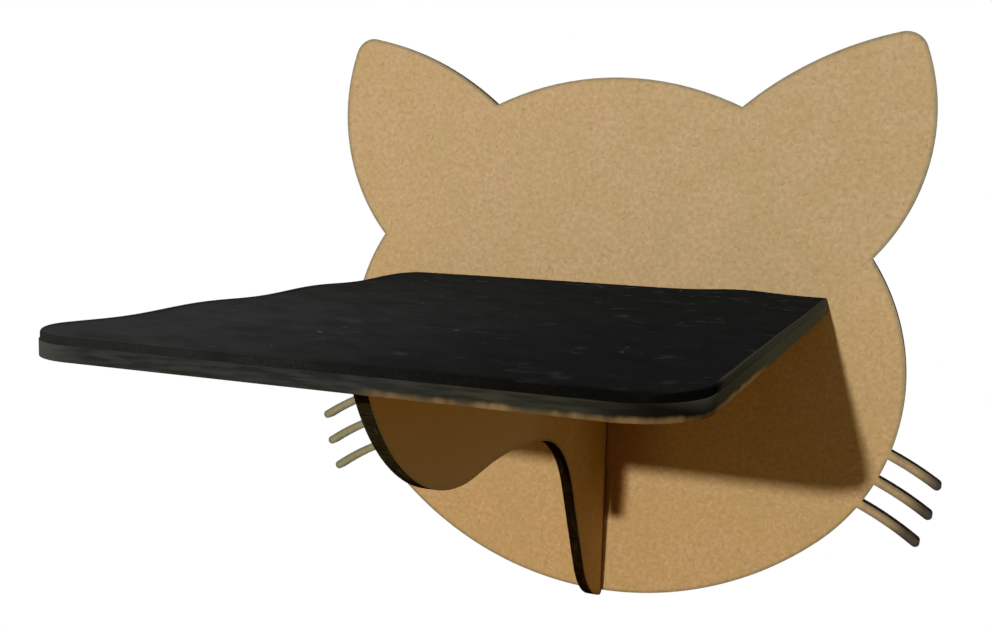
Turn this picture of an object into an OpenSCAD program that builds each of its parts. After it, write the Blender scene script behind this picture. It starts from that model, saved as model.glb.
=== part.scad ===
// Cat-head wall shelf, cut from flat board: a back plate in the outline of a cat's head, a shelf board
// with a felt mat on top, and one shaped bracket underneath. Glued tabs in slots join the boards.
// Sizes are in millimetres. X runs along the wall, the room lies towards -Y, and +Z is up.
// The origin lies on the wall, in the middle of the four screw holes.

/* [Boards] */
// Thickness of the back plate
plate_t = 6; // [4:0.5:10]
// Thickness of the shelf board
shelf_t = 6; // [4:0.5:10]
// Thickness of the bracket
bracket_t = 6; // [4:0.5:12]
// Play between a tab and each side of its slot
slot_play = 0.1; // [0.05:0.05:0.3]
// How far a tab ends below the far face of the board that it passes through
tab_sunk = 0.2; // [0.1:0.1:1]

/* [Head] */
// Width across the cheeks
head_w = 336; // [290:2:400]
// Height from the chin to the crown
head_h = 302; // [270:2:360]
// Radius of each cheek
cheek_r = 120; // [95:1:140]
// How far the chin lies below the cheek circles
chin_drop = 18; // [8:1:40]
// Radius of the crown between the ears
crown_r = 174; // [140:1:240]
// Height of the crown above the top of the shelf board
crown_rise = 121; // [100:1:145]

/* [Ears] */
// Distance from the widest line of the cheek in to the centre of the ear's round tip
ear_inset = 11.5; // [0:0.5:25]
// Height of the centre of the ear's round tip above the crown
ear_rise = 11.5; // [0:0.5:25]
// Radius of the ear's round tip
ear_tip_r = 12; // [6:0.5:18]
// Radius of the ear's inner side
ear_inner_r = 182; // [150:1:230]
// Radius of the ear's outer side
ear_outer_r = 111; // [95:1:140]
// Direction, in degrees, from the tip's centre to the end of the inner side
ear_inner_turn = 101.5; // [96:0.5:108]
// Direction, in degrees, from the tip's centre to the end of the outer side
ear_outer_turn = 20; // [12:0.5:28]

/* [Whiskers] */
// Whiskers on each cheek
whisker_count = 3; // [1:1:4]
// Width of a whisker
whisker_w = 5; // [3:0.5:7]
// Length of the top whisker outside the cheek
whisker_l = 28.5; // [20:0.5:45]
// Extra length of each whisker over the one above it
whisker_step = 3; // [0:0.5:4]
// Radius of a whisker's downward bend
whisker_bend_r = 170; // [90:1:250]
// Downward slope of a whisker where it leaves the cheek, in degrees
whisker_droop = 24; // [10:0.5:40]
// Angle of the first whisker below the widest line of the cheek, in degrees
whisker_first = 18; // [8:0.5:25]
// Angle from one whisker to the next, in degrees
whisker_pitch = 7.7; // [5:0.1:11]

/* [Shelf] */
// Width of the shelf
shelf_w = 250; // [200:2:290]
// Reach of the shelf from the wall to its front edge
shelf_reach = 323; // [290:1:360]
// Radius of the shelf's front corners
shelf_corner_r = 27; // [4:1:40]
// Thickness of the felt mat
mat_t = 3; // [1:0.5:6]
// Margin of bare board round the mat
mat_margin = 0.5; // [0.2:0.1:5]
// Width of each tab on the shelf's back edge
shelf_tab_w = 50; // [30:1:70]
// Distance between the centres of those two tabs
shelf_tab_pitch = 150; // [100:2:170]

/* [Bracket] */
// Distance from the shelf's front edge back to the front end of the bracket
bracket_setback = 30; // [10:1:50]
// Depth of the front lobe below the shelf board
lobe_drop = 59.5; // [50:0.5:70]
// Radius of the front lobe
lobe_r = 93; // [80:1:120]
// Rise of the saddle behind the lobe, measured from the lobe's lowest point
saddle_rise = 3; // [2:0.5:8]
// Radius of the saddle
saddle_r = 250; // [200:1:300]
// Radius of the knee between the saddle and the leg
knee_r = 61; // [50:1:75]
// Lean of the leg's straight front edge, in degrees from upright
leg_lean = 25; // [18:0.5:32]
// Radius of the foot's front below the straight leg
foot_r = 51; // [42:1:62]
// Distance of that radius's centre behind the plate's front face
foot_back = 9; // [4:1:16]
// How far the foot reaches below the chin
foot_drop = 2.5; // [0:0.5:5]
// Radius of the foot's rounded heel
foot_round = 3; // [1:0.5:6]
// Height of each tab on the bracket's back edge
back_tab_h = 30; // [15:1:40]
// Drop from the shelf board to the centre of the upper back tab
back_tab_first = 35; // [28:1:50]
// Distance between the centres of the two back tabs
back_tab_pitch = 80; // [50:1:85]
// Length of each tab on the bracket's top edge
top_tab_l = 40; // [20:1:60]
// Distance from the plate to the centre of the first top tab
top_tab_first = 60; // [35:1:80]
// Distance between the centres of the two top tabs
top_tab_pitch = 140; // [90:1:150]

/* [Wall screws] */
// Diameter of a screw hole
screw_d = 5; // [3:0.5:7]
// Distance between the screw holes from side to side
screw_pitch_x = 120; // [60:1:180]
// Distance between the screw holes from top to bottom
screw_pitch_z = 36; // [20:1:44]
// Height of the shelf board's lower face above the middle of the screw holes
shelf_rise = 31; // [28:1:50]

/* [Hidden] */
$fn = 96;

// Colours
raw_board = [0.73, 0.60, 0.39];
shaded_board = [0.66, 0.53, 0.33];
felt_black = [0.12, 0.12, 0.13];

// Heights
shelf_top = shelf_rise + shelf_t;
crown_z = shelf_top + crown_rise;
chin_z = crown_z - head_h;

// Largest distance between an arc in an outline and its chords
arc_flatness = 0.02;

// Head arcs: each cheek circle touches the chin circle from inside, in the jaw's direction
cheek = [head_w / 2 - cheek_r, chin_z + chin_drop + cheek_r];
chin_r = (pow(cheek.x, 2) + 2 * cheek_r * chin_drop + pow(chin_drop, 2)) / (2 * chin_drop);
chin_c = [0, chin_z + chin_r];
jaw_turn = heading(chin_c, cheek);
brow_w = head_w - cheek_r;

// Ear arcs: both side circles hold the tip circle and touch it from outside. Each side ends inside the head.
ear_tip = [head_w / 2 - ear_inset, crown_z + ear_rise];
ear_inner_c = ear_tip + (ear_tip_r - ear_inner_r) * ray(ear_inner_turn);
ear_outer_c = ear_tip + (ear_tip_r - ear_outer_r) * ray(ear_outer_turn);
ear_inner_sweep = 44;
ear_outer_sweep = 80;

// Shelf depth in front of the plate
shelf_depth = shelf_reach - plate_t;

// Tabs
plate_tab_l = plate_t - tab_sunk;
board_tab_h = shelf_t - tab_sunk;
shelf_tab_x = [-shelf_tab_pitch / 2, shelf_tab_pitch / 2];
back_tab_z = [-back_tab_first, -back_tab_first - back_tab_pitch];
top_tab_u = [top_tab_first, top_tab_first + top_tab_pitch];

// Bracket outline: U runs out from the plate's front face, V up from the shelf board's lower face.
// Its lower edge is a chain of arcs and one straight leg that run smoothly into each other.
nose = [shelf_depth - bracket_setback, 0];
lobe_c = [nose.x - leg_of(lobe_r, lobe_r - lobe_drop), lobe_r - lobe_drop];
saddle_v = saddle_rise - lobe_drop - saddle_r;
saddle_c = [lobe_c.x - leg_of(lobe_r + saddle_r, lobe_c.y - saddle_v), saddle_v];
foot_v = chin_z - foot_drop - shelf_rise;
foot_c = [-foot_back, foot_v + leg_of(foot_r, foot_back)];
heel_c = [foot_round, foot_c.y - leg_of(foot_r - foot_round, foot_round + foot_back)];
heel_turn = heading(foot_c, heel_c);
// The knee circle touches the leg's straight front and, from inside, the saddle circle
leg_up = ray(90 - leg_lean);
leg_out = ray(-leg_lean);
leg_end = foot_c + foot_r * leg_out;
knee_out = (leg_end - saddle_c) * leg_out + knee_r;
knee_c = saddle_c + knee_out * leg_out + leg_of(saddle_r - knee_r, knee_out) * leg_up;
knee_turn = heading(saddle_c, knee_c);
saddle_turn = heading(saddle_c, lobe_c);

// Unit vector in a direction given in degrees
function ray(a) = [cos(a), sin(a)];

// Direction, in degrees, from one point to another
function heading(from, to) = atan2(to.y - from.y, to.x - from.x);

// Points along an arc from one direction to another, without the last point
function arc(centre, r, from, to) =
    let (steps = ceil(abs(to - from) / (2 * acos(1 - arc_flatness / r))))
    [for (i = [0 : steps - 1]) centre + r * ray(from + (to - from) * i / steps)];

// Other short side of a right triangle
function leg_of(long, short) = sqrt(pow(long, 2) - pow(short, 2));

module both_sides() {
    children();
    mirror([1, 0, 0]) children();
}

// Stands a flat outline up along the wall, from the wall plane out into the room
module upright(t) {
    rotate([90, 0, 0]) linear_extrude(t) children();
}

module disc(centre, r) {
    translate(centre) circle(r);
}

// Centred rectangle for a tab's slot, with play all round
module slot(centre, size) {
    translate(centre) square(size + 2 * slot_play * [1, 1], center = true);
}

module head() {
    // Cheek, chin and cheek
    polygon([
        each arc([-cheek.x, cheek.y], cheek_r, 90, 180 - jaw_turn),
        each arc(chin_c, chin_r, 180 - jaw_turn, 360 + jaw_turn),
        each arc(cheek, cheek_r, jaw_turn, 90),
        cheek + [0, cheek_r]
    ]);
    // Brow up to the crown
    intersection() {
        disc([0, crown_z - crown_r], crown_r);
        translate([-brow_w / 2, cheek.y - cheek_r / 2]) square([brow_w, head_h]);
    }
}

// Outer side, round tip and inner side
module ear() {
    polygon([
        each arc(ear_outer_c, ear_outer_r, ear_outer_turn - ear_outer_sweep, ear_outer_turn),
        each arc(ear_tip, ear_tip_r, ear_outer_turn, ear_inner_turn),
        each arc(ear_inner_c, ear_inner_r, ear_inner_turn, ear_inner_turn + ear_inner_sweep)
    ]);
}

// Bent strip from inside the cheek out to a round end
module whisker(i) {
    half_w = whisker_w / 2;
    span = (whisker_l + i * whisker_step) / whisker_bend_r * 180 / PI;
    tip_turn = 90 - span;
    root_turn = 90 + span / 2;
    root = cheek + cheek_r * ray(-whisker_first - i * whisker_pitch);
    translate(root) rotate(-whisker_droop) translate([0, -whisker_bend_r]) polygon([
        each arc([0, 0], whisker_bend_r - half_w, root_turn, tip_turn),
        each arc(whisker_bend_r * ray(tip_turn), half_w, tip_turn - 180, tip_turn),
        each arc([0, 0], whisker_bend_r + half_w, tip_turn, root_turn)
    ]);
}

module screw_holes() {
    for (x = [-1, 1], z = [-1, 1]) {
        disc([x * screw_pitch_x, z * screw_pitch_z] / 2, screw_d / 2);
    }
}

module plate_slots() {
    for (x = shelf_tab_x) slot([x, shelf_rise + shelf_t / 2], [shelf_tab_w, shelf_t]);
    for (z = back_tab_z) slot([0, shelf_rise + z], [bracket_t, back_tab_h]);
}

module back_plate() {
    color(raw_board) difference() {
        union() {
            upright(plate_t) head();
            both_sides() upright(plate_t) {
                ear();
                for (i = [0 : whisker_count - 1]) whisker(i);
            }
        }
        translate([0, plate_t, 0]) upright(3 * plate_t) {
            plate_slots();
            screw_holes();
        }
    }
}

// Plan of the shelf with round front corners, drawn in by a margin on every side
module shelf_plan(margin) {
    w = shelf_w - 2 * margin;
    back = -plate_t - margin;
    front = -shelf_reach + margin;
    r = shelf_corner_r - margin;
    translate([-w / 2, front + r]) square([w, back - front - r]);
    translate([-w / 2 + r, front]) square([w - 2 * r, back - front]);
    for (side = [-1, 1]) disc([side * (w / 2 - r), front + r], r);
}

module shelf_board() {
    color(shaded_board) translate([0, 0, shelf_rise]) linear_extrude(shelf_t) {
        difference() {
            shelf_plan(0);
            for (u = top_tab_u) slot([0, -plate_t - u], [bracket_t, top_tab_l]);
        }
        for (x = shelf_tab_x) translate([x, -plate_t]) square([shelf_tab_w, 2 * plate_tab_l], center = true);
    }
}

module shelf_mat() {
    color(felt_black) translate([0, 0, shelf_top]) linear_extrude(mat_t) shelf_plan(mat_margin);
}

module bracket_profile() {
    // From the shelf's corner down to the heel, up the leg and out along the saddle and the lobe
    polygon([
        [0, 0],
        each arc(heel_c, foot_round, -180, heel_turn),
        each arc(foot_c, foot_r, heel_turn, -leg_lean),
        leg_end,
        each arc(knee_c, knee_r, 180 - leg_lean, knee_turn),
        each arc(saddle_c, saddle_r, knee_turn, saddle_turn),
        each arc(lobe_c, lobe_r, saddle_turn - 180, heading(lobe_c, nose)),
        nose
    ]);
    // Tabs
    for (z = back_tab_z) translate([0, z]) square([2 * plate_tab_l, back_tab_h], center = true);
    for (u = top_tab_u) translate([u, 0]) square([top_tab_l, 2 * board_tab_h], center = true);
}

module support_bracket() {
    color(raw_board) translate([0, -plate_t, shelf_rise]) rotate([90, 0, -90]) {
        linear_extrude(bracket_t, center = true) bracket_profile();
    }
}

back_plate();
shelf_board();
shelf_mat();
support_bracket();
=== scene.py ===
"""Looks of the cat-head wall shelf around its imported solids: camera, light, board finishes and felt mat.

Patterns hold sizes and shifts in mm, and turns in radians. A pair of numbers says where a tone starts and
where it is full, and two more numbers after the pair are the values at these two places.
"""

import math

import bpy
from mathutils import Matrix, Vector, noise


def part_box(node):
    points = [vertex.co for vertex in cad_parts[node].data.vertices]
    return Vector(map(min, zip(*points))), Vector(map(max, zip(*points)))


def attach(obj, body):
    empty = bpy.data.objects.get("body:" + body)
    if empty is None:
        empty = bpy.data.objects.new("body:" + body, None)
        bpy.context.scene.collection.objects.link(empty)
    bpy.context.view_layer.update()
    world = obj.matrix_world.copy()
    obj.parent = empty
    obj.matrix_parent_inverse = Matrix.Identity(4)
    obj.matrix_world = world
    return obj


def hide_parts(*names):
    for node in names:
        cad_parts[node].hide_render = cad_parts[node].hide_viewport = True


MM = 0.001


def srgb(red, green, blue):
    """Linear RGBA of an 8-bit display colour, by the sRGB formula."""
    values = (red / 255, green / 255, blue / 255)
    return (*(v / 12.92 if v <= 0.04045 else ((v + 0.055) / 1.055) ** 2.4 for v in values), 1.0)


# Photograph's frame and its camera, solved from the straight shelf edges and the head's mirror symmetry
IMAGE_W = 992
IMAGE_H = 627
FOCAL_PX = 1112.5
AXIS_PX = (548.25, 304.64)
SENSOR_MM = 36.0
CAMERA_PLACE = Vector((190.71, -622.03, 99.74)) * MM
CAMERA_YAW = math.radians(-20.265)
CAMERA_PITCH = math.radians(-6.476)
CAMERA_ROLL = math.radians(-1.802)
CAMERA_NEAR = 10 * MM

# Small key lamp, placed by the shadows of shelf and bracket on the plate, and a soft lamp for the back
KEY_PLACE = Vector((-104, -2696, 775)) * MM
KEY_RADIUS = 37 * MM
KEY_POWER = 275.0
REAR_PLACE = Vector((0, 2600, 20)) * MM
REAR_SIZE = 900 * MM
REAR_POWER = 45.0

# Weak fill from all round, nearly neutral above and warm below, and between which slopes it turns
FILL_STRENGTH = 0.245
FILL_ABOVE = (0.92, 0.93, 0.90, 1.0)
FILL_BELOW = (1.0, 0.57, 0.04, 1.0)
FILL_TURN = (-0.35, 0.50)

# White backdrop, and the floor in metres, about where it lies under a shelf at cat height
BACKDROP = (1.0, 1.0, 1.0, 1.0)
FLOOR_DROP = 1.2
FLOOR_SIZE = 14.0
FLOOR_FADE = (1.0, 2.2)
FLOOR_COLOUR = (0.82, 0.81, 0.79, 1.0)
FLOOR_ROUGHNESS = 0.9
FLOOR_LIFT = 0.55

# Axes along, up and through the face of each board, as numbers of X, Y and Z
PLATE_AXES = (0, 2, 1)
SHELF_AXES = (0, 1, 2)
BRACKET_AXES = (1, 2, 0)

# Edges of the boards, broken a little once their meshes are welded
WELD_GAP = 0.002 * MM
EDGE_BREAK = 0.40 * MM
EDGE_SEGMENTS = 2
EDGE_ANGLE = math.radians(40)

# Raw fibreboard: how squarely a surface faces out to be raw, its relief, and its mottling, grain and fibres
FACE_TURN = (0.80, 0.98)
BOARD_ROUGHNESS = 0.9
BOARD_BUMP = {"Strength": 0.25, "Distance": 0.05 * MM}
FIBRE_DETAIL = 1.0
FIBRE_SHIFT = 37.0
MOTTLE = {"size": (24, 24, 24), "detail": 2.0}
MOTTLE_FADE = (0.35, 0.65)
GRAIN = {"size": (2.6, 2.6, 2.6), "detail": 2.5, "shift": 11.0}
GRAIN_FADE = (0.25, 0.75)
PALE_FIBRES = {"turns": (0.2, 1.3, 2.3), "length": 3.6, "width": 1.4, "fade": (0.64, 0.82), "shift": 5.0}
PALE_FIBRE_SHARE = 0.45
DARK_FIBRES = {"turns": (0.8, 1.8, 2.9), "length": 4.0, "width": 1.6, "fade": (0.62, 0.82), "shift": 91.0}
DARK_FIBRE_SHARE = 0.50

# Raw fibreboard's colours
GROUND_COLOUR = srgb(192, 163, 125)
MOTTLE_COLOUR = srgb(186, 161, 117)
GRAIN_COLOUR = srgb(177, 149, 108)
PALE_FIBRE_COLOUR = srgb(210, 182, 139)
DARK_FIBRE_COLOUR = srgb(152, 119, 76)

# Painted light on a raw face: where in mm it turns browner down its second axis, as from warm light below,
# and cooler along its first
TONE_UP = (120.0, -130.0)
LOW_LIGHT_TINT = srgb(252, 242, 223)
TONE_ALONG = (-60.0, 160.0)
FAR_LIGHT_TINT = srgb(249, 252, 255)

# Dull haze along the outline of a raw face: its width, and over which bend of the rounded normal it grows
RIM_WIDTH = 5.0 * MM
RIM_SAMPLES = 8
RIM_BEND = (0.999, 0.88)
RIM_TINT = srgb(198, 214, 234)

# Whiskers in mm: middle of the cheek's circle, and where along X, Z and out from it haze and darker tips
# grow
CHEEK = (48.0, -6.0, 0.0)
HAZE_X = (134.0, 142.0)
HAZE_Z = (-6.0, -26.0)
HAZE_REACH = (119.0, 125.0)
DARK_TIP_REACH = (134.0, 150.0)
RIGHT_HALF = (0.0, 1.0)
LEFT_HAZE_TINT = srgb(203, 231, 255)
RIGHT_HAZE_TINT = srgb(228, 234, 246)
DARK_TIP_TINT = srgb(124, 132, 157)

# Painted shade on the plate's front round its joint with the bracket and under the shelf: where it grows in
# mm, and its strength
PLATE_SHADE_X = (50.0, 8.0)
PLATE_SHADE_Z = (-72.0, -62.0)
LEG_SHADE_X = (20.0, 11.0)
LEG_SHADE_Z = (-102.0, -94.0)
PLATE_SHADE_Y = (-3.0, -5.0)
PLATE_SHADE_UNDER_BOARD = 3.0
PLATE_SHADE_SHARE = 0.8
PLATE_SHADE_TINT = srgb(200, 171, 137)

# Burnt cut walls: streaks through the board's thickness, patches, and the plate's and bracket's colours
WALL_STREAK = {"size": (0.5, 0.5, 9.0), "detail": 2.0, "shift": 23.0}
WALL_STREAK_FADE = (0.35, 0.70)
WALL_PATCH = {"size": (9.0, 9.0, 4.0), "detail": 2.0, "shift": 47.0}
WALL_PATCH_FADE = (0.50, 0.75)
PLATE_WALL = (srgb(44, 33, 19), srgb(72, 57, 35), srgb(84, 67, 42))
BRACKET_WALL = (srgb(24, 20, 10), srgb(47, 41, 23), srgb(61, 54, 31))

# Paler walls round the ears, by their height in mm
EAR_WALL_Z = (70.0, 130.0, 0.0, 0.8)
EAR_WALL_COLOUR = srgb(142, 120, 86)

# Bracket in mm: where its lobe turns into its leg, painted cooler light on the lobe, painted shade on its
# face near the plate, and a dark line along its joint with the plate
LEG_Y = (-150.0, -90.0)
LOBE_LIGHT_SHARE = 0.65
LOBE_LIGHT_COLOUR = srgb(195, 180, 166)
LEG_WALL_TINT = srgb(184, 154, 138)
FACE_SHADE_Y = (-80.0, -20.0)
FACE_SHADE_Z = (-112.0, -55.0)
FACE_SHADE_TINT = srgb(227, 214, 160)
JOINT_Y = (-11.0, -7.0)
JOINT_TINT = srgb(170, 130, 90)

# Paint on the shelf's edge: its lumps and streaks, and its two greys
EDGE_LUMPS = {"size": (9.0, 9.0, 30.0), "detail": 3.0, "shift": 67.0}
EDGE_STREAKS = {"size": (14.0, 14.0, 1.4), "detail": 3.0, "shift": 29.0}
EDGE_STREAK_FADE = (0.30, 0.70)
EDGE_DARK = srgb(33, 34, 32)
EDGE_GREY = srgb(49, 49, 47)

# Paint along X in mm: paler round the left front corner, olive to the right, and painted shade round the
# right corner
PALE_X = (-88.0, -118.0)
PALE_PAINT = srgb(68, 70, 68)
OLIVE_X = (10.0, 70.0)
OLIVE_TINT = srgb(255, 253, 228)
SHADED_CORNER_X = (84.0, 114.0)
SHADED_CORNER_PAINT = srgb(18, 15, 10)

# Worn line along the bottom of the edge in mm: its height by the lumps, its soft end, and where it grows
WORN_HEIGHT = (0.25, 0.75, 1.2, 2.2)
WORN_END = (-1.0, 0.7, 1.0, 0.0)
WORN_X = (13.0, 36.0)
WORN_Y = (-190.0, -240.0)
BARE_FADE = (0.35, 0.75)
BARE_DARK = srgb(80, 64, 40)
BARE_PALE = srgb(122, 99, 66)

# Right side of the shelf in mm: where the painted shade round the front corners ends, and how the painted
# light on the side grows towards the back
SIDE_X = (90.0, 100.0)
SIDE_Y = (-290.0, -170.0, 0.52, 1.0)
BOARD_CORNER_Y = (-306.0, -276.0)
CORNER_LEAN = 3.0
FELT_CORNER_Y = (-296.0, -278.0)
LIT_SIDE_PAINT = srgb(102, 108, 101)
LIT_SIDE_BARE = srgb(208, 178, 146)

# Felt mat's shape: rim, grid, front corners, unevenness, ripple along its left edge and buckle at its back
MAT_ROUND = 1.1 * MM
MAT_ROUND_STEPS = 5
MAT_CELL = 4.0 * MM
MAT_CORNER = 26.5 * MM
MAT_SHARP = math.radians(60)
MAT_WAVE_SEED = 1
MAT_WAVE = 0.35 * MM
MAT_WAVE_LENGTH = 45 * MM
MAT_SWELL = 0.25 * MM
MAT_SWELL_LENGTH = 65 * MM
MAT_SWELL_SLICE = 1.0
MAT_RIPPLE = 0.55 * MM
MAT_RIPPLE_LENGTH = 91 * MM
MAT_RIPPLE_CREST = -124 * MM
MAT_RIPPLE_WIDTH = 60 * MM
MAT_BUCKLE = 1.6 * MM
MAT_BUCKLE_X = 78 * MM
MAT_BUCKLE_WIDTH = 22 * MM
MAT_BUCKLE_DEPTH = 70 * MM

# Felt's surface, and its nap, its wool, and the clusters of fluff and lint on it
FELT_ROUGHNESS = 0.95
FELT_BUMP = {"Strength": 0.5, "Distance": 0.15 * MM}
SHEEN = 0.02
SHEEN_ROUGHNESS = 0.45
SHEEN_TINT = srgb(150, 156, 160)
NAP = {"size": (14, 30, 14), "detail": 3.0, "turn": -0.98}
NAP_FADE = (0.32, 0.68)
WOOL = {"size": (0.9, 0.9, 0.9), "detail": 3.0, "shift": 13.0}
WOOL_FADE = (0.35, 0.70)
CLUSTER = {"size": (30, 22, 22), "detail": 2.0, "shift": 71.0}
CLUSTER_FADE = (0.46, 0.62)
FLUFF = {"turns": (0.3, 1.2, 2.2), "length": 15.0, "width": 9.0, "fade": (0.60, 0.82), "shift": 53.0}
FLUFF_SHARE = 0.5
LINT = {"turns": (0.4, 1.4, 2.4), "length": 8.0, "width": 4.0, "fade": (0.73, 0.86), "shift": 19.0}
LINT_SHARE = 0.8

# Felt's dust and painted sheen: where in mm they grow towards the left front, and their shares by the nap
# and by facing up
DUST_AND_SHEEN_X = (90.0, -125.0)
DUST_AND_SHEEN_Y = (60.0, -323.0)
DUST_AND_SHEEN_NAP = (0.20, 0.70, 0.7, 1.2)
DUST_AND_SHEEN_UP = (0.80, 0.99, 0.25, 1.0)

# Felt's edges: painted shade along the front and a dark left edge in mm, and how far the right rim's surface
# turns right and up for its painted light and highlight
SHADE_X = (-35.0, 118.0, 0.06, 0.92)
SHADE_Y = (-315.0, -322.5)
SHADE_RIGHT = (0.20, 0.60)
SELVEDGE_X = (-115.0, -124.0, 0.0, 0.7)
FELT_LIT_SIDE_RIGHT = (0.75, 1.00)
HIGHLIGHT_RIGHT = (0.20, 0.40)
HIGHLIGHT_UP = (0.15, 0.35)

# Felt's colours
FELT_DEEP = srgb(19, 19, 17)
FELT_DARK = srgb(21, 22, 19)
FELT_NAP = srgb(32, 33, 30)
DUST_AND_SHEEN_COLOUR = srgb(60, 61, 60)
FLUFF_COLOUR = srgb(70, 72, 70)
LINT_COLOUR = srgb(112, 115, 112)
SHADE_COLOUR = srgb(8, 7, 4)
SELVEDGE_COLOUR = srgb(16, 16, 15)
FELT_LIT_SIDE_COLOUR = srgb(96, 103, 101)
HIGHLIGHT_COLOUR = srgb(77, 78, 67)


def add_object(name, data):
    """A new object in the scene."""
    made = bpy.data.objects.new(name, data)
    bpy.context.scene.collection.objects.link(made)
    return made


def add_node(tree, kind, inputs=None, **settings):
    """A new node with its settings, and its inputs set to values or linked to other nodes' outputs."""
    made = tree.nodes.new(kind)
    for name, value in settings.items():
        setattr(made, name, value)
    for key, value in (inputs or {}).items():
        if isinstance(value, bpy.types.NodeSocket):
            tree.links.new(value, made.inputs[key])
        else:
            made.inputs[key].default_value = value
    return made


def math_node(tree, operation, first, second=0.0):
    """Result of an operation on one or two numbers."""
    return add_node(tree, "ShaderNodeMath", {0: first, 1: second}, operation=operation).outputs[0]


def vector_node(tree, operation, inputs):
    """A node for an operation on vectors."""
    return add_node(tree, "ShaderNodeVectorMath", inputs, operation=operation)


def times(tree, first, *others):
    """Product of several numbers."""
    product = first
    for other in others:
        product = math_node(tree, "MULTIPLY", product, other)
    return product


def larger(tree, first, second):
    """The larger of two numbers."""
    return math_node(tree, "MAXIMUM", first, second)


def split(tree, vector):
    """The three parts of a vector."""
    return tuple(add_node(tree, "ShaderNodeSeparateXYZ", {0: vector}).outputs)


def ramp(tree, value, start, end, at_start=0.0, at_end=1.0):
    """Smooth step of a value between two places, with the given results there."""
    inputs = {"Value": value, "From Min": start, "From Max": end, "To Min": at_start, "To Max": at_end}
    return add_node(tree, "ShaderNodeMapRange", inputs, interpolation_type="SMOOTHSTEP").outputs[0]


def mix(tree, share, first, second, blend="MIX"):
    """A colour with a share of a second one; 6, 7 and 2 are the node's sockets for colours."""
    inputs = {"Factor": share, 6: first, 7: second}
    return add_node(tree, "ShaderNodeMix", inputs, data_type="RGBA", blend_type=blend).outputs[2]


def tinted(tree, share, colour, tint):
    """A colour multiplied by a share of a tint."""
    return mix(tree, share, colour, tint, "MULTIPLY")


def speckle(tree, place, size, detail, turn=0.0, shift=0.0):
    """Noise over a place in millimetres, with the size of a blotch along each axis."""
    inputs = {"Vector": place, "Rotation": (0, 0, turn), "Location": (shift, -shift, 2 * shift)}
    mapped = add_node(tree, "ShaderNodeMapping", inputs)
    sized = vector_node(tree, "MULTIPLY", {0: mapped.outputs[0], 1: [1 / length for length in size]})
    inputs = {"Vector": sized.outputs[0], "Scale": 1.0, "Detail": detail}
    return add_node(tree, "ShaderNodeTexNoise", inputs).outputs["Fac"]


def fibre_flecks(tree, place, turns, length, width, fade, shift):
    """Short straight fibres in several directions, as one mask."""
    total = 0.0
    for i, turn in enumerate(turns):
        blotch = speckle(tree, place, (length, width, width), FIBRE_DETAIL, turn, shift + FIBRE_SHIFT * i)
        total = larger(tree, total, ramp(tree, blotch, *fade))
    return total


def new_material(name):
    """A material with its tree and its shader node."""
    material = bpy.data.materials.new(name)
    material.use_nodes = True
    tree = material.node_tree
    return material, tree, tree.nodes["Principled BSDF"]


def matt_surface(tree, shader, colour, height, bump, roughness):
    """Gives a shader its colour and relief, and no gloss."""
    relief = add_node(tree, "ShaderNodeBump", {"Height": height, **bump})
    tree.links.new(colour, shader.inputs["Base Color"])
    tree.links.new(relief.outputs[0], shader.inputs["Normal"])
    shader.inputs["Roughness"].default_value = roughness
    shader.inputs["Specular IOR Level"].default_value = 0.0


def local_place(tree, order):
    """Object coordinates in millimetres with the axes in the given order, and the object's normal alike."""
    coords = add_node(tree, "ShaderNodeTexCoord")
    turned = []
    for name in ("Object", "Normal"):
        parts = split(tree, coords.outputs[name])
        made = add_node(tree, "ShaderNodeCombineXYZ", {i: parts[axis] for i, axis in enumerate(order)})
        turned.append(made.outputs[0])
    scaled = vector_node(tree, "SCALE", {0: turned[0], "Scale": 1 / MM})
    return scaled.outputs[0], turned[1]


def board_face(tree, place):
    """Colour and relief of raw fibreboard: mottled ground with painted warmer light lower down, and pale and
    dark fibres.
    """
    along, up = split(tree, place)[:2]
    mottle = speckle(tree, place, **MOTTLE)
    grain = speckle(tree, place, **GRAIN)
    pale = fibre_flecks(tree, place, **PALE_FIBRES)
    dark = fibre_flecks(tree, place, **DARK_FIBRES)
    ground = mix(tree, ramp(tree, mottle, *MOTTLE_FADE), GROUND_COLOUR, MOTTLE_COLOUR)
    colour = mix(tree, ramp(tree, grain, *GRAIN_FADE), GRAIN_COLOUR, ground)
    # Painted light: warmer lower down and slightly cooler along the first axis, as the room's light falls
    colour = tinted(tree, ramp(tree, up, *TONE_UP), colour, LOW_LIGHT_TINT)
    colour = tinted(tree, ramp(tree, along, *TONE_ALONG), colour, FAR_LIGHT_TINT)
    colour = mix(tree, times(tree, pale, PALE_FIBRE_SHARE), colour, PALE_FIBRE_COLOUR)
    colour = mix(tree, times(tree, dark, DARK_FIBRE_SHARE), colour, DARK_FIBRE_COLOUR)
    relief = math_node(tree, "SUBTRACT", math_node(tree, "ADD", grain, pale), dark)
    return colour, relief


def singed_rim(tree, colour):
    """Colour of a raw face with the dull haze that cutting leaves along its outline."""
    rounded = add_node(tree, "ShaderNodeBevel", {"Radius": RIM_WIDTH}, samples=RIM_SAMPLES)
    flat = add_node(tree, "ShaderNodeNewGeometry").outputs["Normal"]
    bend = vector_node(tree, "DOT_PRODUCT", {0: rounded.outputs[0], 1: flat})
    return tinted(tree, ramp(tree, bend.outputs["Value"], *RIM_BEND), colour, RIM_TINT)


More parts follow.
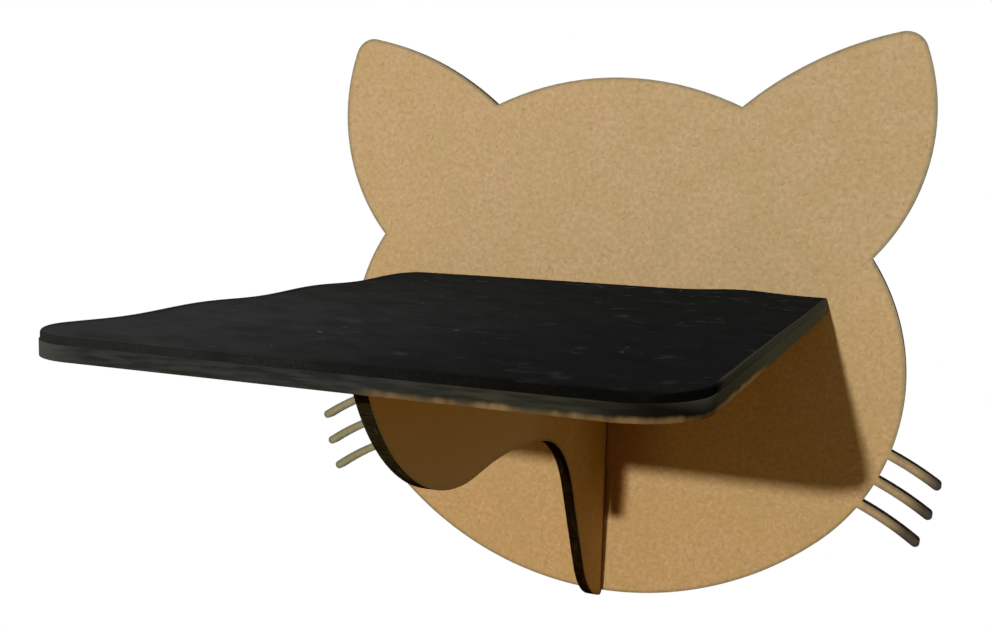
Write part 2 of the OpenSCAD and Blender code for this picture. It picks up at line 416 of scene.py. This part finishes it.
def singed_whiskers(tree, place, colour):
    """Colour of the plate's face with a haze over its thin whiskers, and darker tips on the right."""
    x, z = split(tree, place)[:2]
    outward = math_node(tree, "ABSOLUTE", x)
    folded = add_node(tree, "ShaderNodeCombineXYZ", {0: outward, 1: z})
    distance = vector_node(tree, "DISTANCE", {0: folded.outputs[0], 1: CHEEK})
    reach = distance.outputs["Value"]
    haze = times(tree, ramp(tree, z, *HAZE_Z), ramp(tree, outward, *HAZE_X), ramp(tree, reach, *HAZE_REACH))
    rightward = ramp(tree, x, *RIGHT_HALF)
    hazy = tinted(tree, haze, colour, mix(tree, rightward, LEFT_HAZE_TINT, RIGHT_HAZE_TINT))
    dark_tips = times(tree, rightward, ramp(tree, reach, *DARK_TIP_REACH), haze)
    return tinted(tree, dark_tips, hazy, DARK_TIP_TINT)


def plate_stains(tree, place, colour):
    """Colour of the plate's face with painted shade round its joint with the bracket, and its singed
    whiskers.
    """
    x, z, y = split(tree, place)
    outward = math_node(tree, "ABSOLUTE", x)
    board_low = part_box("shelf_board")[0].z / MM
    # Painted shade beside the bracket's leg and under the shelf, where the fill light is blocked
    upper = times(tree, ramp(tree, outward, *PLATE_SHADE_X), ramp(tree, z, *PLATE_SHADE_Z))
    lower = times(tree, ramp(tree, outward, *LEG_SHADE_X), ramp(tree, z, *LEG_SHADE_Z))
    under = ramp(tree, z, board_low, board_low - PLATE_SHADE_UNDER_BOARD, 0.0, PLATE_SHADE_SHARE)
    painted_shade = times(tree, larger(tree, upper, lower), under, ramp(tree, y, *PLATE_SHADE_Y))
    return singed_whiskers(tree, place, tinted(tree, painted_shade, colour, PLATE_SHADE_TINT))


def bracket_stains(tree, place, colour):
    """Colour of the bracket's face: painted cooler light on the lobe, painted shade near the plate, a dark
    joint line.
    """
    y, z = split(tree, place)[:2]
    # Painted light: the lobe, further out, is greyer, as from more neutral light than the leg gets
    lobe_lit = mix(tree, ramp(tree, y, *LEG_Y, LOBE_LIGHT_SHARE, 0.0), colour, LOBE_LIGHT_COLOUR)
    # Painted shade on the face near the plate and under the shelf
    painted_shade = times(tree, ramp(tree, y, *FACE_SHADE_Y), ramp(tree, z, *FACE_SHADE_Z))
    shaded_face = tinted(tree, painted_shade, lobe_lit, FACE_SHADE_TINT)
    return tinted(tree, ramp(tree, y, *JOINT_Y), shaded_face, JOINT_TINT)


def cut_wall(tree, place, burnt, singed, patched):
    """Colour of a burnt cut wall: fine dark streaks through the board's thickness, with lighter patches."""
    streak = speckle(tree, place, **WALL_STREAK)
    patch = speckle(tree, place, **WALL_PATCH)
    streaked = mix(tree, ramp(tree, streak, *WALL_STREAK_FADE), burnt, singed)
    return mix(tree, ramp(tree, patch, *WALL_PATCH_FADE), streaked, patched)


def plate_wall(tree, place):
    """Colour of the plate's walls, paler round the ears."""
    z = split(tree, place)[1]
    wall = cut_wall(tree, place, *PLATE_WALL)
    return mix(tree, ramp(tree, z, *EAR_WALL_Z), wall, EAR_WALL_COLOUR)


def bracket_wall(tree, place):
    """Colour of the bracket's walls, darker on the leg."""
    y = split(tree, place)[0]
    wall = cut_wall(tree, place, *BRACKET_WALL)
    return tinted(tree, ramp(tree, y, *LEG_Y), wall, LEG_WALL_TINT)


def lit_side_share(tree, back, corner):
    """Share of painted light on the shelf's right side: none at the shaded front corner, more towards the
    back.
    """
    return times(tree, ramp(tree, back, *corner), ramp(tree, back, *SIDE_Y))


def painted_edge(tree, place):
    """Shelf's top and edge: dark grey paint, a worn brown line on part of the bottom, painted light and
    shade.
    """
    x, y, z = split(tree, place)
    board_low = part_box("shelf_board")[0].z / MM
    above = math_node(tree, "SUBTRACT", z, board_low)
    lumps = speckle(tree, place, **EDGE_LUMPS)
    streak = speckle(tree, place, **EDGE_STREAKS)
    # Painted light on the right side, none round the shaded front corner, the shade leaning lower down
    leaning = math_node(tree, "ADD", y, times(tree, above, CORNER_LEAN))
    lit_side = times(tree, ramp(tree, x, *SIDE_X), lit_side_share(tree, leaning, BOARD_CORNER_Y))
    paint = mix(tree, ramp(tree, streak, *EDGE_STREAK_FADE), EDGE_DARK, EDGE_GREY)
    paint = tinted(tree, ramp(tree, x, *OLIVE_X), paint, OLIVE_TINT)
    paint = mix(tree, ramp(tree, x, *PALE_X), paint, PALE_PAINT)
    # Painted shade round the right front corner
    paint = mix(tree, ramp(tree, x, *SHADED_CORNER_X), paint, SHADED_CORNER_PAINT)
    paint = mix(tree, lit_side, paint, LIT_SIDE_PAINT)
    bare = mix(tree, ramp(tree, lumps, *BARE_FADE), BARE_DARK, BARE_PALE)
    bare = mix(tree, lit_side, bare, LIT_SIDE_BARE)
    over_worn = math_node(tree, "SUBTRACT", above, ramp(tree, lumps, *WORN_HEIGHT))
    worn = times(tree, ramp(tree, over_worn, *WORN_END), ramp(tree, x, *WORN_X), ramp(tree, y, *WORN_Y))
    return mix(tree, worn, paint, bare)


def board_material(name, order, wall, stain=None, underside_only=False):
    """Fibreboard, raw on the broad faces square to the last axis in order, with a finish on the rest."""
    material, tree, shader = new_material(name)
    place, normal = local_place(tree, order)
    through = split(tree, normal)[2]
    if underside_only:
        facing = math_node(tree, "SUBTRACT", 0.0, through)
    else:
        facing = math_node(tree, "ABSOLUTE", through)
    raw, height = board_face(tree, place)
    raw = singed_rim(tree, raw)
    if stain:
        raw = stain(tree, place, raw)
    colour = mix(tree, ramp(tree, facing, *FACE_TURN), wall(tree, place), raw)
    matt_surface(tree, shader, colour, height, BOARD_BUMP, BOARD_ROUGHNESS)
    return material


def felt_top(tree, place, up):
    """Colour and relief of black needle felt: nap and wool, dust and painted sheen towards the left front,
    fluff and lint.
    """
    x, y = split(tree, place)[:2]
    nap = speckle(tree, place, **NAP)
    wool = speckle(tree, place, **WOOL)
    cluster = ramp(tree, speckle(tree, place, **CLUSTER), *CLUSTER_FADE)
    clustered = times(tree, cluster, ramp(tree, up, *FACE_TURN))
    fluff = times(tree, fibre_flecks(tree, place, **FLUFF), clustered, FLUFF_SHARE)
    lint = times(tree, fibre_flecks(tree, place, **LINT), clustered, LINT_SHARE)
    # Dust and painted sheen, lighter towards the left front where the light falls
    dust_and_sheen = times(tree, ramp(tree, x, *DUST_AND_SHEEN_X), ramp(tree, y, *DUST_AND_SHEEN_Y))
    dust_and_sheen = times(tree, dust_and_sheen, ramp(tree, nap, *DUST_AND_SHEEN_NAP), ramp(tree, up, *DUST_AND_SHEEN_UP))
    ground = mix(tree, ramp(tree, nap, *NAP_FADE), FELT_DARK, FELT_NAP)
    colour = mix(tree, ramp(tree, wool, *WOOL_FADE), FELT_DEEP, ground)
    colour = mix(tree, dust_and_sheen, colour, DUST_AND_SHEEN_COLOUR)
    colour = mix(tree, fluff, colour, FLUFF_COLOUR)
    colour = mix(tree, lint, colour, LINT_COLOUR)
    return colour, wool


def felt_edges(tree, place, right, up, colour):
    """Felt colour: painted shade on its front, a dark left edge, painted light on its right side and a
    painted highlight on its rim.
    """
    x, y = split(tree, place)[:2]
    # Painted shade along the felt's front side, deeper to the right
    front_shade = larger(tree, ramp(tree, y, *SHADE_Y), ramp(tree, right, *SHADE_RIGHT))
    # Painted light on the right side, and a painted highlight along its top rim
    felt_lit_side = times(tree, ramp(tree, right, *FELT_LIT_SIDE_RIGHT), lit_side_share(tree, y, FELT_CORNER_Y))
    rim_highlight = times(tree, ramp(tree, right, *HIGHLIGHT_RIGHT), ramp(tree, up, *HIGHLIGHT_UP))
    rim_highlight = times(tree, rim_highlight, ramp(tree, y, *FELT_CORNER_Y))
    colour = mix(tree, times(tree, front_shade, ramp(tree, x, *SHADE_X)), colour, SHADE_COLOUR)
    colour = mix(tree, ramp(tree, x, *SELVEDGE_X), colour, SELVEDGE_COLOUR)
    colour = mix(tree, felt_lit_side, colour, FELT_LIT_SIDE_COLOUR)
    return mix(tree, rim_highlight, colour, HIGHLIGHT_COLOUR)


def felt_material():
    """Black needle felt with a slight sheen."""
    material, tree, shader = new_material("black_felt")
    place, normal = local_place(tree, SHELF_AXES)
    right, _, up = split(tree, normal)
    top, height = felt_top(tree, place, up)
    matt_surface(tree, shader, felt_edges(tree, place, right, up, top), height, FELT_BUMP, FELT_ROUGHNESS)
    shader.inputs["Sheen Weight"].default_value = SHEEN
    shader.inputs["Sheen Roughness"].default_value = SHEEN_ROUGHNESS
    shader.inputs["Sheen Tint"].default_value = SHEEN_TINT
    return material


def finish_board(board, material):
    """Gives a packed board its finish, and breaks its sharp edges a little."""
    board.material_slots[0].material = material
    weld = board.modifiers.new("weld", "WELD")
    weld.merge_threshold = WELD_GAP
    bevel = board.modifiers.new("edge_break", "BEVEL")
    bevel.width = EDGE_BREAK
    bevel.segments = EDGE_SEGMENTS
    bevel.limit_method = "ANGLE"
    bevel.angle_limit = EDGE_ANGLE


def stations(low, high):
    """Places across the mat from edge to edge, close together over its rounded rim, and each one's drop."""
    turns = [math.pi / 2 * i / MAT_ROUND_STEPS for i in range(MAT_ROUND_STEPS)]
    rim = [MAT_ROUND * (1 - math.cos(t)) for t in turns]
    drops = [MAT_ROUND * (1 - math.sin(t)) for t in turns]
    inner = high - low - 2 * MAT_ROUND
    cells = math.ceil(inner / MAT_CELL)
    flat = [low + MAT_ROUND + inner * i / cells for i in range(cells + 1)]
    places = [low + s for s in rim] + flat + [high - s for s in reversed(rim)]
    return places, drops + [0.0] * len(flat) + list(reversed(drops))


def round_front_corner(x, y, half_w, front):
    """Moves a point of the square grid so that the front corners turn into arcs."""
    centre_x = math.copysign(half_w - MAT_CORNER, x)
    centre_y = front + MAT_CORNER
    across = x - centre_x
    along = y - centre_y
    if abs(x) <= abs(centre_x) or y >= centre_y:
        return x, y
    reach = max(abs(across), abs(along)) / math.hypot(across, along)
    return centre_x + across * reach, centre_y + along * reach


def left_ripple(inward, y):
    """Height of the ripples that the felt has along its left edge, fading towards the middle."""
    fade = max(0.0, 1 - inward / MAT_RIPPLE_WIDTH)
    crest = math.cos(2 * math.pi * (y - MAT_RIPPLE_CREST) / MAT_RIPPLE_LENGTH)
    return MAT_RIPPLE * fade * fade * crest


def back_buckle(x, inward):
    """Height of the buckle that lifts the felt's back edge against the plate."""
    fade = max(0.0, 1 - inward / MAT_BUCKLE_DEPTH)
    return MAT_BUCKLE * fade * fade * math.exp(-(((x - MAT_BUCKLE_X) / MAT_BUCKLE_WIDTH) ** 2))


def mat_points(low, high):
    """Points of the mat's top and underside, row by row and uneven as felt lies, and a row's length."""
    noise.seed_set(MAT_WAVE_SEED)
    xs, x_drops = stations(low.x, high.x)
    ys, y_drops = stations(low.y, high.y)
    top = []
    bottom = []
    for y, y_drop in zip(ys, y_drops):
        for x, x_drop in zip(xs, x_drops):
            px, py = round_front_corner(x, y, high.x, low.y)
            wave = noise.noise_vector(Vector((px, py, 0)) / MAT_WAVE_LENGTH) * MAT_WAVE
            swell = noise.noise(Vector((px, py, MAT_SWELL_SLICE)) / MAT_SWELL_LENGTH) * MAT_SWELL
            lift = swell + left_ripple(px - low.x, py) + back_buckle(px, high.y - py)
            top.append((px + wave.x, py + wave.y, high.z - max(x_drop, y_drop) + lift))
            bottom.append((px + wave.x, py + wave.y, low.z))
    return top, bottom, len(xs)


def mat_faces(columns, rows):
    """Faces of the mat's top and underside, and of the wall round them."""
    under = columns * rows
    faces = []
    for j in range(rows - 1):
        for i in range(columns - 1):
            a = j * columns + i
            quad = (a, a + 1, a + columns + 1, a + columns)
            faces.append(quad)
            faces.append(tuple(under + v for v in reversed(quad)))
    rim = list(range(columns))
    rim += [j * columns + columns - 1 for j in range(1, rows)]
    rim += [(rows - 1) * columns + i for i in range(columns - 2, -1, -1)]
    rim += [j * columns for j in range(rows - 2, 0, -1)]
    for a, b in zip(rim, rim[1:] + rim[:1]):
        faces.append((a, under + a, under + b, b))
    return faces


def felt_mat():
    """The felt mat with its soft rim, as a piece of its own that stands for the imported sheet."""
    low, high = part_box("shelf_mat")
    top, bottom, columns = mat_points(low, high)
    mesh = bpy.data.meshes.new("felt_mat")
    mesh.from_pydata(top + bottom, [], mat_faces(columns, len(top) // columns))
    mesh.shade_smooth()
    mesh.set_sharp_from_angle(angle=MAT_SHARP)
    mesh.materials.append(felt_material())
    mat = add_object("felt_mat", mesh)
    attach(mat, "root")
    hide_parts("shelf_mat")


def camera():
    """Camera at the photograph's place, with its focal length and its off-centre optical axis."""
    ahead = Vector(
        (
            math.sin(CAMERA_YAW) * math.cos(CAMERA_PITCH),
            math.cos(CAMERA_YAW) * math.cos(CAMERA_PITCH),
            math.sin(CAMERA_PITCH),
        )
    )
    level = Vector((math.cos(CAMERA_YAW), -math.sin(CAMERA_YAW), 0.0))
    down = ahead.cross(level)
    right = math.cos(CAMERA_ROLL) * level + math.sin(CAMERA_ROLL) * down
    lower = math.cos(CAMERA_ROLL) * down - math.sin(CAMERA_ROLL) * level
    data = bpy.data.cameras.new("photo_camera")
    data.sensor_fit = "HORIZONTAL"
    data.sensor_width = SENSOR_MM
    data.lens = SENSOR_MM * FOCAL_PX / IMAGE_W
    data.shift_x = (IMAGE_W / 2 - AXIS_PX[0]) / IMAGE_W
    data.shift_y = (AXIS_PX[1] - IMAGE_H / 2) / IMAGE_W
    data.clip_start = CAMERA_NEAR
    made = add_object("photo_camera", data)
    turn = Matrix((right, -lower, -ahead)).transposed().to_4x4()
    made.matrix_world = Matrix.Translation(CAMERA_PLACE) @ turn
    bpy.context.scene.camera = made


def lamp(name, kind, place, power):
    """A lamp at a place, out of the camera's sight."""
    data = bpy.data.lights.new(name, kind)
    data.energy = power
    made = add_object(name, data)
    made.location = place
    made.visible_camera = False
    return made


def lamps():
    """A key lamp in front, and a dimmer soft lamp behind that faces the shelf."""
    key = lamp("key", "POINT", KEY_PLACE, KEY_POWER)
    key.data.shadow_soft_size = KEY_RADIUS
    rear = lamp("rear", "AREA", REAR_PLACE, REAR_POWER)
    rear.data.size = REAR_SIZE
    rear.rotation_mode = "QUATERNION"
    rear.rotation_quaternion = (-REAR_PLACE).to_track_quat("-Z", "Y")


def seen_directly(tree):
    """1 on rays that show the background: from the camera, in a reflection or through glass."""
    rays = add_node(tree, "ShaderNodeLightPath")
    glossy = larger(tree, rays.outputs["Is Glossy Ray"], rays.outputs["Is Transmission Ray"])
    return larger(tree, rays.outputs["Is Camera Ray"], glossy)


def surroundings():
    """A weak fill from all round, nearly neutral above and warm below, and the white backdrop in view."""
    world = bpy.data.worlds.new("studio")
    world.use_nodes = True
    bpy.context.scene.world = world
    tree = world.node_tree
    coords = add_node(tree, "ShaderNodeTexCoord")
    upward = split(tree, coords.outputs["Generated"])[2]
    fill = tree.nodes["Background"]
    fill.inputs["Strength"].default_value = FILL_STRENGTH
    tree.links.new(mix(tree, ramp(tree, upward, *FILL_TURN), FILL_BELOW, FILL_ABOVE), fill.inputs["Color"])
    backdrop = add_node(tree, "ShaderNodeBackground", {"Color": BACKDROP})
    inputs = {0: seen_directly(tree), 1: fill.outputs[0], 2: backdrop.outputs[0]}
    mixed = add_node(tree, "ShaderNodeMixShader", inputs)
    tree.links.new(mixed.outputs[0], tree.nodes["World Output"].inputs["Surface"])


def floor_material():
    """Pale floor that fades into the white backdrop with its distance, and adds no light of its own."""
    material, tree, shader = new_material("pale_floor")
    shader.inputs["Base Color"].default_value = FLOOR_COLOUR
    shader.inputs["Roughness"].default_value = FLOOR_ROUGHNESS
    seen = seen_directly(tree)
    lift = add_node(tree, "ShaderNodeEmission", {"Strength": times(tree, seen, FLOOR_LIFT)})
    near = add_node(tree, "ShaderNodeAddShader", {0: shader.outputs[0], 1: lift.outputs[0]})
    far = add_node(tree, "ShaderNodeEmission", {"Strength": seen})
    coords = add_node(tree, "ShaderNodeTexCoord")
    distance = vector_node(tree, "LENGTH", {0: coords.outputs["Object"]})
    fade = ramp(tree, distance.outputs["Value"], *FLOOR_FADE)
    mixed = add_node(tree, "ShaderNodeMixShader", {0: fade, 1: near.outputs[0], 2: far.outputs[0]})
    tree.links.new(mixed.outputs[0], tree.nodes["Material Output"].inputs["Surface"])
    return material


def floor():
    """Plain pale floor well under the shelf."""
    half = FLOOR_SIZE / 2
    corners = [(-half, -half, 0), (half, -half, 0), (half, half, 0), (-half, half, 0)]
    mesh = bpy.data.meshes.new("floor")
    mesh.from_pydata(corners, [], [(0, 1, 2, 3)])
    mesh.materials.append(floor_material())
    made = add_object("floor", mesh)
    made.location.z = -FLOOR_DROP
    made.visible_diffuse = False


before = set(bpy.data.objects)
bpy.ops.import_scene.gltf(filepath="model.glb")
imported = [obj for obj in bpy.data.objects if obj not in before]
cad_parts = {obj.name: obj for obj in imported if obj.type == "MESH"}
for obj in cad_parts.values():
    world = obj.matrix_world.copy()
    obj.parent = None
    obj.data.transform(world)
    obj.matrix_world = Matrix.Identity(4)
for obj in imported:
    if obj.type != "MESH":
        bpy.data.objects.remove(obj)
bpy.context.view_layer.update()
camera()
lamps()
surroundings()
floor()
finishes = {
    "back_plate": board_material("plate_board", PLATE_AXES, plate_wall, plate_stains),
    "shelf_board": board_material("shelf_board", SHELF_AXES, painted_edge, underside_only=True),
    "support_bracket": board_material("bracket_board", BRACKET_AXES, bracket_wall, bracket_stains),
}
for node, finish in finishes.items():
    finish_board(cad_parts[node], finish)
felt_mat()
bpy.context.scene.view_settings.view_transform = "Standard"
